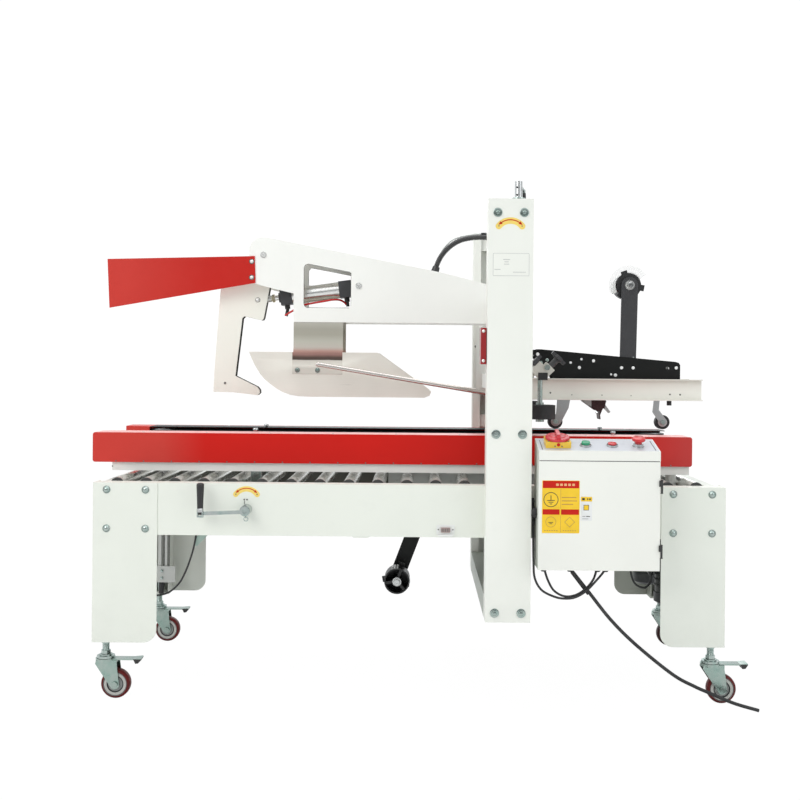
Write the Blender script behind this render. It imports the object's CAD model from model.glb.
"""Looks of a carton taping machine.

The machine's length lies along X, its front faces -Y and its casters stand on z = 0. Modelled
pieces are measured in millimetres; shaders, camera and lights work in metres.
"""
import math
from functools import cached_property

import bpy
import bmesh
from mathutils import Matrix, Vector


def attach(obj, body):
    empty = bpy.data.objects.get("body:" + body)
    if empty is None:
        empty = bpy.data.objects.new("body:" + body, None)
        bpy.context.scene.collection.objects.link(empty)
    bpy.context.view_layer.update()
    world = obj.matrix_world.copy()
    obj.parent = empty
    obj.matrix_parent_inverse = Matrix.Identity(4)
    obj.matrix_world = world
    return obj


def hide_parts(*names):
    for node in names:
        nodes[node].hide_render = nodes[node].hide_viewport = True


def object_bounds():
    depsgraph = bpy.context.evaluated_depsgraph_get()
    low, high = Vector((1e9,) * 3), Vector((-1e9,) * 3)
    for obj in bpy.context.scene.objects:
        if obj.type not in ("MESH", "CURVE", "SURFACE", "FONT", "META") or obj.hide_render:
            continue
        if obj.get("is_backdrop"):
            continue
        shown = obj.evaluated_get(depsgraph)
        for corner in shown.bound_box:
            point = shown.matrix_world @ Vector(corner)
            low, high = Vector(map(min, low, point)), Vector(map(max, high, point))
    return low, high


MM = 0.001
X, Y, Z = Vector((1, 0, 0)), Vector((0, 1, 0)), Vector((0, 0, 1))
FRONT = -Y
SIDES = ((-1, "front"), (1, "rear"))  # sign of y, name

# Driving places, in millimetres
CASTER_X, CASTER_Y = 826, 300  # stem centres, to both sides of the origin
ROLLER_COUNT, ROLLER_PITCH, FIRST_ROLLER_X, ROLLER_Z = 21, 79.5, -803, 581
RAIL_FACE_Y = -332
MAST_FACE_Y = 395  # to both sides
UPPER_REEL_X, UPPER_REEL_Z = 649, 1159
LOWER_REEL_X, LOWER_REEL_Z = -37, 270
GEARMOTOR_X, GEARMOTOR_Y = 750, 147
DOOR_FACE_Y = -440
PANEL_Y, PANEL_Z, PANEL_TILT = -437, 695.22, 14.574  # lower edge and degrees of the sloping face
PANEL_BUTTON_ROW = 42  # up the slope
ISOLATOR_X, ISOLATOR_ROW = 390, 45

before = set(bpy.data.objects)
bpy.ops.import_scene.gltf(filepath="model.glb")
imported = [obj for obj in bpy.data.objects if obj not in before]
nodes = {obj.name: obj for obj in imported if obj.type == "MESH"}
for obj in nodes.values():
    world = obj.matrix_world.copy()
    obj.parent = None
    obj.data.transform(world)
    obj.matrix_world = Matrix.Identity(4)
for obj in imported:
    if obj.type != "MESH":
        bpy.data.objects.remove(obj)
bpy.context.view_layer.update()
scene = bpy.context.scene


# ---------------------------------------------------------------- shader building
class ShaderTree:
    """Builds the node tree of a material or world."""

    def __init__(self, owner):
        owner.use_nodes = True
        self.tree = owner.node_tree
        self.tree.nodes.clear()

    def node(self, kind, **properties):
        node = self.tree.nodes.new(kind)
        for key, value in properties.items():
            setattr(node, key, value)
        return node

    def put(self, socket, value):
        """Link a socket, or set a value; three numbers make an opaque colour."""
        if isinstance(value, bpy.types.NodeSocket):
            self.tree.links.new(value, socket)
        elif isinstance(value, (tuple, list)) and len(value) == 3 and socket.type == "RGBA":
            socket.default_value = (*value, 1.0)
        else:
            socket.default_value = value

    def fill(self, node, *values):
        """Put values into a node's first sockets."""
        for socket, value in zip(node.inputs, values):
            self.put(socket, value)
        return node.outputs[0]

    @cached_property
    def place(self):
        return self.node("ShaderNodeTexCoord").outputs["Object"]

    @cached_property
    def xyz(self):
        node = self.node("ShaderNodeSeparateXYZ")
        self.put(node.inputs[0], self.place)
        return node.outputs

    def math(self, operation, first, second=0.0):
        return self.fill(self.node("ShaderNodeMath", operation=operation), first, second)

    def noise(self, scale, detail=3.0, rough=0.5, stretch=(1, 1, 1), offset=(0, 0, 0)):
        mapping = self.node("ShaderNodeMapping")
        self.put(mapping.inputs["Vector"], self.place)
        mapping.inputs["Scale"].default_value = stretch
        mapping.inputs["Location"].default_value = offset
        texture = self.node("ShaderNodeTexNoise")
        self.put(texture.inputs["Vector"], mapping.outputs[0])
        texture.inputs["Scale"].default_value = scale
        texture.inputs["Detail"].default_value = detail
        texture.inputs["Roughness"].default_value = rough
        return texture.outputs["Fac"]

    def remap(self, value, source, to, interpolation="LINEAR"):
        """Map the source range (low, high) onto the range to."""
        node = self.node("ShaderNodeMapRange", interpolation_type=interpolation)
        self.put(node.inputs["Value"], value)
        limits = ("From Min", "From Max", "To Min", "To Max")
        for key, limit in zip(limits, (*source, *to)):
            self.put(node.inputs[key], limit)
        return node.outputs[0]

    def mix_color(self, factor, first, second):
        node = self.node("ShaderNodeMix", data_type="RGBA")
        for index, value in ((0, factor), (6, first), (7, second)):
            self.put(node.inputs[index], value)
        return node.outputs[2]

    def mix_shader(self, factor, first, second):
        return self.fill(self.node("ShaderNodeMixShader"), factor, first, second)

    def bump(self, height, strength, distance):
        node = self.node("ShaderNodeBump")
        node.inputs["Strength"].default_value = strength
        node.inputs["Distance"].default_value = distance
        self.put(node.inputs["Height"], height)
        return node.outputs[0]

    def principled(self, **inputs):
        node = self.node("ShaderNodeBsdfPrincipled")
        for key, value in inputs.items():
            self.put(node.inputs[key.replace("_", " ")], value)
        return node.outputs[0]

    def output(self, kind, surface):
        self.put(self.node(kind).inputs["Surface"], surface)


def recipe(build):
    """Turn build(tree, settings) into a function of the settings that waits for its tree."""
    def with_settings(*args, **kwargs):
        return lambda tree: build(tree, *args, **kwargs)
    return with_settings


# Measures: lengths in metres at each shaded point
@recipe
def along(tree, axis):
    return tree.xyz[axis]


@recipe
def span(tree, axis):
    """Distance to either side of the plane through the origin."""
    return tree.math("ABSOLUTE", tree.xyz[axis])


@recipe
def from_line(tree, **centre):
    """Distance from a line, given by two of its coordinates."""
    squares = []
    for axis in "xyz":
        if axis in centre:
            offset = tree.math("SUBTRACT", tree.xyz[axis.upper()], centre[axis])
            squares.append(tree.math("MULTIPLY", offset, offset))
    return tree.math("SQRT", tree.math("ADD", *squares))


@recipe
def projected(tree, axes, origin, direction):
    """Signed distance from origin along a direction; all three in the plane of two axes."""
    return tree.math("ADD", *(
        tree.math("MULTIPLY", tree.math("SUBTRACT", tree.xyz[axis], start), slope)
        for axis, start, slope in zip(axes, origin, direction)))


# Masks: 1 where a layer lies
@recipe
def more(tree, measure, limit):
    return tree.math("GREATER_THAN", measure(tree), limit)


@recipe
def less(tree, measure, limit):
    return tree.math("LESS_THAN", measure(tree), limit)


@recipe
def fade(tree, measure, source, to):
    return tree.remap(measure(tree), source, to=to)


@recipe
def both(tree, first, second):
    return tree.math("MULTIPLY", first(tree), second(tree))


@recipe
def either(tree, first, second):
    return tree.math("MAXIMUM", first(tree), second(tree))


EDGE = 0.0002  # half the soft edge of a box or ring mask


@recipe
def inside(tree, **limits):
    """A box given as x, y, z = (low, high), either of them None when open."""
    mask = None
    for axis in "xyz":
        for limit, to in zip(limits.get(axis, ()), ((0.0, 1.0), (1.0, 0.0))):
            if limit is None:
                continue
            step = tree.remap(tree.xyz[axis.upper()], (limit - EDGE, limit + EDGE), to=to)
            mask = step if mask is None else tree.math("MULTIPLY", mask, step)
    return mask


@recipe
def ring_mask(tree, x, z, inner, outer):
    """A ring about a line along Y."""
    radius = from_line(x=x, z=z)(tree)
    return tree.math(
        "MULTIPLY",
        tree.remap(radius, (inner - EDGE, inner + EDGE), to=(0, 1)),
        tree.remap(radius, (outer - EDGE, outer + EDGE), to=(1, 0)))


# ---------------------------------------------------------------- finishes
@recipe
def powder(tree, color, rough=0.38, peel=0.14, tone=0.03, coat=0.0, dark=0.0, specular=0.5):
    """Powder coat: orange peel, a slight drift in tone and gloss, dark grime near the floor."""
    broad = tree.noise(2.3)
    fine = tree.noise(24.0, detail=4.0, rough=0.6, offset=(3.1, 1.7, 0.4))
    shade = tuple(max(0.0, min(1.0, channel * (1.0 - tone * 2.2))) for channel in color)
    tint = tree.mix_color(tree.remap(broad, (0.35, 0.65), to=(0.0, 0.75)), color, shade)
    tint = tree.mix_color(tree.remap(fine, (0.56, 0.74), to=(0.0, 0.28)), tint, shade)
    if dark:
        low = tree.remap(tree.xyz["Z"], (0.05, 0.5), to=(dark, 0.0))
        tint = tree.mix_color(tree.math("MULTIPLY", low, fine), tint, (0.42, 0.42, 0.38))
    height = tree.noise(1150.0, detail=2.0, rough=0.55)
    gloss = tree.remap(tree.noise(60.0), (0.3, 0.7), to=(rough - 0.05, rough + 0.07))
    return tree.principled(
        Base_Color=tint, Roughness=gloss,
        Normal=tree.bump(height, strength=peel, distance=0.0004),
        Coat_Weight=coat, Coat_Roughness=0.18, Specular_IOR_Level=specular)


@recipe
def metal(tree, color, rough=0.28, stretch=(1, 1, 1), scale=220.0, bump=0.10, vary=0.10,
          metallic=1.0, tint=None):
    """Brushed or turned metal; stretch sets the grain's direction."""
    grain = tree.noise(scale, detail=4.0, rough=0.65, stretch=stretch)
    cloud = tree.noise(7.0, offset=(0.7, 2.0, 4.0))
    shade = tuple(channel * (1 - vary) for channel in color)
    mixed = tree.mix_color(tree.remap(grain, (0.3, 0.7), to=(0.0, 1.0)), color, shade)
    if tint:
        mixed = tree.mix_color(tree.remap(cloud, (0.4, 0.7), to=(0.0, 0.8)), mixed, tint)
    gloss = tree.remap(grain, (0.25, 0.75), to=(max(0.03, rough - 0.07), rough + 0.10))
    gloss = tree.math("ADD", gloss, tree.remap(cloud, (0.35, 0.65), to=(-0.03, 0.05)))
    return tree.principled(Base_Color=mixed, Metallic=metallic, Roughness=gloss,
                           Normal=tree.bump(grain, strength=bump, distance=0.0003))


@recipe
def zinc(tree, color=(0.44, 0.475, 0.455), rough=0.20):
    """Bright zinc plate: cool, with fine clouding."""
    cloud = tree.noise(38.0, detail=4.0, rough=0.6)
    fine = tree.noise(420.0, offset=(2, 1, 0))
    shade = (color[0] * 0.80, color[1] * 0.93, color[2] * 0.90)
    mixed = tree.mix_color(tree.remap(cloud, (0.35, 0.65), to=(0.0, 1.0)), color, shade)
    blend = tree.math("ADD", tree.math("MULTIPLY", cloud, 0.6), tree.math("MULTIPLY", fine, 0.4))
    gloss = tree.remap(blend, (0.3, 0.7), to=(rough - 0.07, rough + 0.12))
    return tree.principled(Base_Color=mixed, Metallic=1.0, Roughness=gloss,
                           Normal=tree.bump(fine, strength=0.08, distance=0.0002))


@recipe
def rubber(tree, color=(0.022, 0.022, 0.023), rough=0.62, bump=0.35, scale=900.0):
    grain = tree.noise(scale, rough=0.6)
    dust = tree.noise(14.0, detail=4.0, rough=0.6, offset=(5, 2, 1))
    dusty = tuple(min(1.0, channel * 1.9 + 0.02) for channel in color)
    mixed = tree.mix_color(tree.remap(dust, (0.45, 0.75), to=(0.0, 0.55)), color, dusty)
    return tree.principled(
        Base_Color=mixed,
        Roughness=tree.remap(dust, (0.3, 0.7), to=(rough - 0.08, rough + 0.1)),
        Normal=tree.bump(grain, strength=bump, distance=0.0004), Specular_IOR_Level=0.4)


@recipe
def plastic(tree, color, rough=0.35, bump=0.08, scale=700.0, specular=0.5, coat=0.0):
    grain = tree.noise(scale, detail=2.0)
    drift = tree.noise(30.0, offset=(1, 6, 2))
    shade = tuple(channel * 0.82 for channel in color)
    mixed = tree.mix_color(tree.remap(drift, (0.4, 0.7), to=(0.0, 0.5)), color, shade)
    return tree.principled(
        Base_Color=mixed,
        Roughness=tree.remap(drift, (0.3, 0.7), to=(rough - 0.05, rough + 0.06)),
        Normal=tree.bump(grain, strength=bump, distance=0.0003),
        Specular_IOR_Level=specular, Coat_Weight=coat, Coat_Roughness=0.1)


@recipe
def cast(tree, color, metallic):
    """Rough dark casting."""
    grain = tree.noise(330.0, detail=4.0, rough=0.7)
    drift = tree.noise(11.0)
    shade = tuple(channel * 0.7 for channel in color)
    mixed = tree.mix_color(tree.remap(drift, (0.4, 0.7), to=(0.0, 0.8)), color, shade)
    return tree.principled(Base_Color=mixed, Metallic=metallic, Roughness=0.45,
                           Normal=tree.bump(grain, strength=0.35, distance=0.0006))


cad_materials = {}  # CAD piece: its material


def material(name, base, *layers, parts=""):
    """Base finish covered by (mask, finish) layers; parts lists the CAD pieces that wear it."""
    made = bpy.data.materials.new(name)
    tree = ShaderTree(made)
    surface = base(tree)
    for mask, finish in layers:
        surface = tree.mix_shader(mask(tree), surface, finish(tree))
    tree.output("ShaderNodeOutputMaterial", surface)
    for part in parts.split():
        cad_materials[part] = made
    return made


# ---------------------------------------------------------------- painted sheet
WHITE = (0.79, 0.815, 0.745)
CABINET_WHITE = (0.85, 0.855, 0.80)
RED = (0.60, 0.0115, 0.007)
JET = (0.02, 0.02, 0.02)
SOOT = (0.03, 0.03, 0.03)

white = material("white_powder", powder(WHITE, rough=0.40, dark=0.20))
material("white_powder_upper", powder((0.90, 0.905, 0.865), rough=0.42), parts="flap_arm")
white_mast = material(
    "white_powder_mast", powder((0.862, 0.874, 0.815), rough=0.40, dark=0.20),
    parts="mast_columns")
# The rails' inner sides lie in shade
material(
    "white_powder_rails", powder(WHITE, rough=0.40),
    (inside(y=(0.2925, 0.3312), z=(0.4532, 0.5878)),
     powder((0.055, 0.058, 0.045), rough=0.5, tone=0.1)),
    (inside(y=(-0.3312, -0.2925), z=(0.4532, 0.5878)),
     powder((0.30, 0.31, 0.28), rough=0.5, tone=0.1)),
    parts="side_rails")
material(
    "white_powder_cross", powder(WHITE, rough=0.40),
    (inside(x=(-0.80, 0.80), y=(-0.288, 0.288), z=(0.45, None)),
     powder((0.045, 0.048, 0.04), rough=0.5)),
    (inside(x=(-0.80, 0.80), z=(None, 0.45)), powder((0.40, 0.43, 0.38), rough=0.45)),
    parts="cross_members")
# The rear legs stand in the shade of the bed
material(
    "white_powder_legs", powder(WHITE, rough=0.40, dark=0.2),
    (inside(x=(0.55, None), y=(0.20, 0.3342)), powder((0.32, 0.335, 0.29), rough=0.45)),
    (inside(x=(None, -0.55), y=(0.20, 0.3342)), powder((0.60, 0.62, 0.57), rough=0.45)),
    parts="leg_plates")
# Kicker: dark between its cheeks, bright pivot ends
material(
    "kicker_white", powder((0.885, 0.88, 0.80), rough=0.42),
    (inside(y=(-0.0148, 0.0176), x=(None, -0.4705)), powder((0.03, 0.03, 0.028), rough=0.5)),
    (inside(y=(-0.0148, 0.0176), x=(-0.4705, None), z=(None, 1.215)),
     powder((0.10, 0.10, 0.09), rough=0.5)),
    (both(more(span("Y"), 0.0183), less(from_line(x=-0.462, z=1.107), 0.0055)),
     metal((0.80, 0.80, 0.78), rough=0.25, metallic=0.6)),
    parts="kicker")


@recipe
def carriage_screws(tree):
    nearest = tree.math("MINIMUM", *(from_line(x=0.194, z=z)(tree) for z in (0.928, 1.007)))
    return tree.math("LESS_THAN", nearest, 0.0053)


# Carriage: red upright strip with two screws
material(
    "carriage_white", powder((0.83, 0.835, 0.79), rough=0.42),
    (inside(x=(0.186, 0.2025), y=(None, -0.3252)),
     powder((0.33, 0.012, 0.016), rough=0.34, coat=0.2)),
    (both(inside(y=(None, -0.3763)), carriage_screws()), zinc((0.8, 0.8, 0.78))),
    parts="lift_carriage")


def red_powder(color, tone=0.03, specular=0.16, rough=0.34):
    return powder(color, rough=rough, peel=0.08, tone=tone, specular=specular)


pale_red = red_powder((0.605, 0.050, 0.038), tone=0.05)
material(
    "nose_red", red_powder((0.53, 0.020, 0.014), tone=0.05),
    (fade(along("X"), (-0.84, -0.60), to=(0.9, 0.0)), pale_red), parts="nose_guard")

# Belt guards: sheen towards both ends, black lining, and the front one's glare when seen flat
GUARD_SHEEN = (
    (fade(along("X"), (-0.70, -0.58), to=(1.0, 0.0)), pale_red),
    (fade(along("X"), (0.60, 0.78), to=(0.0, 0.8)), red_powder((0.50, 0.055, 0.052))))
guard_lining = powder(JET, rough=0.5)
right_of_end = more(along("X"), -0.8125)


def facing(tree):
    return tree.node("ShaderNodeLayerWeight").outputs["Facing"]


material(
    "guard_front", red_powder(RED, tone=0.05), *GUARD_SHEEN,
    (both(more(along("Z"), 0.7163), fade(facing, (0.80, 0.92), to=(0.0, 1.0))),
     red_powder((0.86, 0.40, 0.38), rough=0.4, specular=0.4)),
    (both(less(along("Z"), 0.7176), both(less(span("Y"), 0.1972), right_of_end)), guard_lining),
    parts="belt_guard_front")
material(
    "guard_rear", red_powder(RED, tone=0.05), *GUARD_SHEEN,
    (both(less(span("Y"), 0.1900), right_of_end), guard_lining), parts="belt_guard_rear")
grey_paint = material(
    "grey_paint", powder((0.50, 0.51, 0.49), rough=0.45, tone=0.06), parts="lower_head_frame")
shade_green = material("shade_green", powder((0.36, 0.47, 0.42), rough=0.4))

# ---------------------------------------------------------------- plain materials
zinc_plate = material("zinc_plate", zinc())
dark_steel = material("dark_steel", metal((0.19, 0.19, 0.18), rough=0.38, vary=0.3))
chrome = material(
    "bright_chrome", metal((0.52, 0.53, 0.53), rough=0.12, scale=90.0, bump=0.02, vary=0.04))
black_rubber = material(
    "black_rubber", rubber(), parts="cables side_roller_front side_roller_rear")
hose_black = material("hose_black", plastic(SOOT, rough=0.45, bump=0.15))
black_plastic = material(
    "black_moulded", plastic((0.02, 0.02, 0.021), rough=0.36, bump=0.2), parts="crank_grip")
material("red_gloss", plastic((0.62, 0.02, 0.025), rough=0.22, bump=0.03, coat=0.5),
         parts="stop_button estop_button")
material("green_gloss", plastic((0.02, 0.34, 0.16), rough=0.22, bump=0.03, coat=0.5),
         parts="start_button")
isolator_red = material(
    "isolator_red", plastic((0.60, 0.018, 0.03), rough=0.24, bump=0.03, coat=0.5),
    parts="isolator_knob")


def ink(name, color, rough=0.4, bump=0.02, specular=0.5):
    return material(name, plastic(color, rough=rough, bump=bump, specular=specular))


yellow_label = ink("yellow_label", (0.90, 0.59, 0.04), rough=0.42, specular=0.2)
yellow_crescent = ink("yellow_crescent", (0.90, 0.68, 0.16), rough=0.34)
label_red = ink("label_red", (0.56, 0.014, 0.006), rough=0.42, specular=0.2)
label_ink = ink("label_ink", (0.035, 0.032, 0.03))
label_brown = ink("label_brown", (0.50, 0.27, 0.06))
label_white = ink("label_white", (0.80, 0.81, 0.80), rough=0.34)
label_cream = ink("label_cream", (0.80, 0.45, 0.20), bump=0.08)
label_grey = ink("label_grey", (0.35, 0.36, 0.36), bump=0.08)
plate_rim = ink("plate_rim", (0.50, 0.51, 0.49), rough=0.5, bump=0.08)
faint_ink = ink("faint_ink", (0.42, 0.43, 0.42), rough=0.5, bump=0.08)
sensor_body = ink("sensor_body", (0.42, 0.31, 0.29), rough=0.35, bump=0.08)
plug_white = ink("plug_white", (0.90, 0.90, 0.89), rough=0.35, bump=0.03)
pale_plate = material(
    "pale_plate", metal((0.82, 0.83, 0.81), rough=0.42, scale=300.0, stretch=(0.05, 1, 1),
                        bump=0.03, vary=0.03, metallic=0.25))
red_tube = material("red_air_tube", plastic((0.66, 0.02, 0.02), rough=0.25, bump=0.02, coat=0.4))
pale_tube = material(
    "pale_air_tube", plastic((0.70, 0.72, 0.70), rough=0.25, bump=0.02, coat=0.4))


def core_shell(tree):
    """Pale, half clear film."""
    cloud = tree.noise(9.0)
    film = tree.principled(Base_Color=(0.86, 0.86, 0.85), Roughness=0.35, Alpha=1.0)
    clear = tree.node("ShaderNodeBsdfTransparent").outputs[0]
    return tree.mix_shader(tree.remap(cloud, (0.3, 0.7), to=(0.18, 0.42)), clear, film)


core_film = material("core_film", core_shell)

# ---------------------------------------------------------------- metal pieces
# (place up the hanger, colour), from its lower bend to its top
HANGER_TONES = [
    (0.0, (0.70, 0.665, 0.60)), (0.03, (0.70, 0.665, 0.60)), (0.05, (0.09, 0.065, 0.055)),
    (0.11, (0.13, 0.09, 0.075)), (0.17, (0.36, 0.205, 0.18)), (0.26, (0.47, 0.275, 0.23)),
    (0.31, (0.50, 0.40, 0.35)), (0.36, (0.51, 0.465, 0.41)), (0.50, (0.47, 0.455, 0.39)),
    (0.66, (0.385, 0.37, 0.31)), (0.80, (0.40, 0.385, 0.325)), (0.92, (0.50, 0.485, 0.42)),
    (1.0, (0.62, 0.60, 0.56))]


def hanger_sheet(tree):
    """Mirror sheet: bands of warm and dark tone towards the lower bend."""
    ramp = tree.node("ShaderNodeValToRGB")
    ripple = tree.math("MULTIPLY", tree.noise(14.0, detail=2.0, stretch=(1, 1, 0.4)), 0.004)
    height = tree.math("ADD", tree.xyz["Z"], ripple)
    tree.put(ramp.inputs[0], tree.remap(height, (0.925, 1.045), to=(0.0, 1.0)))
    elements = ramp.color_ramp.elements
    while len(elements) < len(HANGER_TONES):
        elements.new(0.5)
    for element, (position, color) in zip(elements, HANGER_TONES):
        element.position = position
        element.color = (*color, 1.0)
    grain = tree.noise(260.0, rough=0.6, stretch=(1, 1, 0.04))
    return tree.principled(
        Base_Color=ramp.outputs[0], Metallic=0.25,
        Roughness=tree.remap(grain, (0.3, 0.7), to=(0.16, 0.26)),
        Normal=tree.bump(grain, strength=0.02, distance=0.0002), Specular_IOR_Level=0.35)


# The trough is brushed along the machine
material(
    "plough_stainless",
    metal((0.80, 0.77, 0.70), rough=0.34, stretch=(0.03, 1, 1), scale=260.0, bump=0.03,
          vary=0.03, tint=(0.85, 0.82, 0.75), metallic=0.35),
    (inside(x=(-0.3485, -0.2015), z=(0.886, 1.08)), hanger_sheet), parts="plough")
material(
    "rod_stainless",
    metal((0.60, 0.56, 0.53), rough=0.20, stretch=(0.15, 1, 1), scale=200.0, bump=0.03,
          vary=0.08), parts="guide_rods")
# Rollers have black plastic end caps
material(
    "roller_tube",
    metal((0.86, 0.86, 0.83), rough=0.20, stretch=(0.12, 1, 0.12), scale=330.0, bump=0.05,
          vary=0.06),
    (either(inside(y=(None, -0.2855)), inside(y=(0.2855, None))),
     plastic((0.05, 0.05, 0.05), rough=0.42)), parts="bed_rollers")
material(
    "turned_steel", metal((0.66, 0.67, 0.67), rough=0.26, stretch=(1, 0.1, 1), scale=320.0),
    parts="lead_screw_rear")
material(
    "pulley_steel", metal((0.60, 0.61, 0.61), rough=0.30, stretch=(0.2, 0.2, 2.0), scale=400.0),
    parts="drive_pulley_front drive_pulley_rear idler_pulley_front idler_pulley_rear")
flat_belt = material(
    "flat_belt", rubber((0.016, 0.016, 0.017), rough=0.58, bump=0.4, scale=1500.0),
    parts="drive_belt_front drive_belt_rear")
# Belt base: dark gearmotor under the drive end, hanger tubes and pulley posts in plain steel
material(
    "belt_base", powder((0.78, 0.775, 0.74), rough=0.36, tone=0.05),
    (inside(x=(0.69, 0.81), z=(None, 0.558)), cast((0.035, 0.037, 0.038), metallic=0.3)),
    (inside(x=(0.69, 0.81), z=(0.2705, 0.4955)), cast((0.040, 0.043, 0.040), metallic=0.4)),
    (inside(z=(0.50, 0.6095), x=(-0.9, 0.68)), zinc()), parts="belt_base_front belt_base_rear")

# Head plates: grey field, bright reel post at both ends, bright shafts, white feet
on_upper_post = less(from_line(x=UPPER_REEL_X * MM, z=UPPER_REEL_Z * MM), 0.0145)
on_lower_post = less(from_line(x=LOWER_REEL_X * MM, z=LOWER_REEL_Z * MM), 0.0145)
material(
    "head_plates",
    powder((0.008, 0.0085, 0.008), rough=0.40, peel=0.10, tone=0.08, specular=0.22),
    (inside(x=(0.61, 0.69), y=(-0.0455, -0.0385), z=(0.88, 1.19)),
     powder((0.050, 0.050, 0.053), rough=0.40, tone=0.05, specular=0.35)),
    (both(inside(y=(-0.06, -0.0452)), on_upper_post),
     metal((0.80, 0.80, 0.78), rough=0.2, bump=0.02)),
    (both(inside(y=(-0.0385, 0.06)), on_upper_post), metal((0.72, 0.72, 0.72), rough=0.25)),
    (inside(y=(-0.0445, 0.0445), z=(0.85, 0.93)), metal((0.62, 0.62, 0.62), rough=0.28)),
    (inside(z=(0.851, 0.8765), y=(-0.0725, -0.0482)), powder((0.80, 0.79, 0.755), rough=0.36)),
    parts="upper_head_frame")
material(
    "lower_reel_bracket",
    powder((0.009, 0.010, 0.0095), rough=0.42, peel=0.10, tone=0.08, specular=0.25),
    (both(inside(y=(-0.06, 0.066)), on_lower_post),
     metal((0.74, 0.74, 0.74), rough=0.22, bump=0.03)), parts="lower_reel_arm")
material(
    "mandrel_moulding", plastic((0.018, 0.018, 0.019), rough=0.40, bump=0.15, scale=600.0),
    parts="upper_reel_hub lower_reel_hub")


@recipe
def tread(tree, color):
    """Dark red caster tread."""
    grain = tree.noise(500.0)
    dirt = tree.noise(30.0, detail=4.0, rough=0.6)
    mixed = tree.mix_color(tree.remap(dirt, (0.4, 0.7), to=(0, 0.8)),
                           color, (color[0] * 0.62, color[1], color[2]))
    return tree.principled(Base_Color=mixed, Roughness=0.38,
                           Normal=tree.bump(grain, strength=0.12, distance=0.0003),
                           Specular_IOR_Level=0.2)


def caster_materials(key, side_x, side_y):
    """Wheel in rings about its axle, and zinc fork with a black pedal tip."""
    stem_x = side_x * CASTER_X * MM
    wheel_x, wheel_z = stem_x + 0.029, 0.040
    shaded = side_x > 0 and side_y > 0
    rings = (  # inner and outer radius, finish
        (0.0, 0.0325, plastic((0.47, 0.47, 0.44), rough=0.42, bump=0.1)),
        (0.0300, 0.0325, plastic((0.10, 0.09, 0.09), rough=0.5)),
        (0.0195, 0.0230, plastic((0.03, 0.035, 0.035), rough=0.5)),
        (0.0125, 0.0195, plastic((0.25, 0.26, 0.25), rough=0.45)),
        (0.0, 0.0125, metal((0.30, 0.31, 0.31), rough=0.35)))
    wheel, fork = "caster_wheel_" + key, "caster_fork_" + key
    material(wheel, tread((0.035, 0.007, 0.007) if shaded else (0.115, 0.009, 0.008)),
             *((ring_mask(wheel_x, wheel_z, inner, outer), finish)
               for inner, outer, finish in rings), parts=wheel)
    material(
        fork, zinc((0.36, 0.425, 0.395)),
        (both(inside(x=(stem_x + 0.078, None), z=(None, 0.1085)), more(along("Z"), 0.09)),
         plastic(JET, rough=0.4)), parts=fork)


for key, side_x, side_y in (("fl", -1, -1), ("fr", 1, -1), ("rl", -1, 1), ("rr", 1, 1)):
    caster_materials(key, side_x, side_y)

# Press wheels: rubber rim, grey hub, zinc bolt
for name, part, x, z in (("press_wheels_a", "press_wheels_infeed", 0.426, 0.753),
                         ("press_wheels_b", "press_wheels_outfeed", 0.741, 0.754)):
    material(
        name, rubber((0.02, 0.02, 0.021), rough=0.5, bump=0.2),
        (ring_mask(x, z, 0.0, 0.0133), plastic((0.55, 0.56, 0.56))),
        (ring_mask(x, z, 0.0, 0.0073), zinc()), parts=part)

# Air cylinder, measured from its rear pivot: along its axis, and down across it
CYLINDER_PIVOT = (-0.1567, 1.148)
cylinder_along = projected("XZ", CYLINDER_PIVOT, (-0.99118, -0.13310))
cylinder_across = projected("XZ", CYLINDER_PIVOT, (0.13310, -0.99118))


@recipe
def cylinder_band(tree, low, high):
    distance = cylinder_along(tree)
    return tree.math("MULTIPLY", tree.math("GREATER_THAN", distance, low),
                     tree.math("LESS_THAN", distance, high))


cylinder_cap = plastic((0.045, 0.046, 0.05), rough=0.42, bump=0.2)
material(
    "air_cylinder_ends",
    metal((0.80, 0.80, 0.78), rough=0.22, stretch=(0.08, 1, 1), scale=260.0, bump=0.04,
          vary=0.05),
    (cylinder_band(-0.02, 0.0625), cylinder_cap),
    (cylinder_band(0.2048, 0.26), cylinder_cap),
    (more(cylinder_across, 0.0255), plastic(JET)), parts="cylinder_barrel")
material(
    "cylinder_rod", metal((0.80, 0.80, 0.80), rough=0.10, scale=120.0, bump=0.02),
    (cylinder_band(0.2575, 0.268), metal((0.55, 0.50, 0.36))),
    (cylinder_band(0.268, 0.2815), metal((0.50, 0.51, 0.50), rough=0.3)),
    (cylinder_band(0.2815, 0.40), metal((0.13, 0.13, 0.12), rough=0.4)), parts="cylinder_rod")

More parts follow.
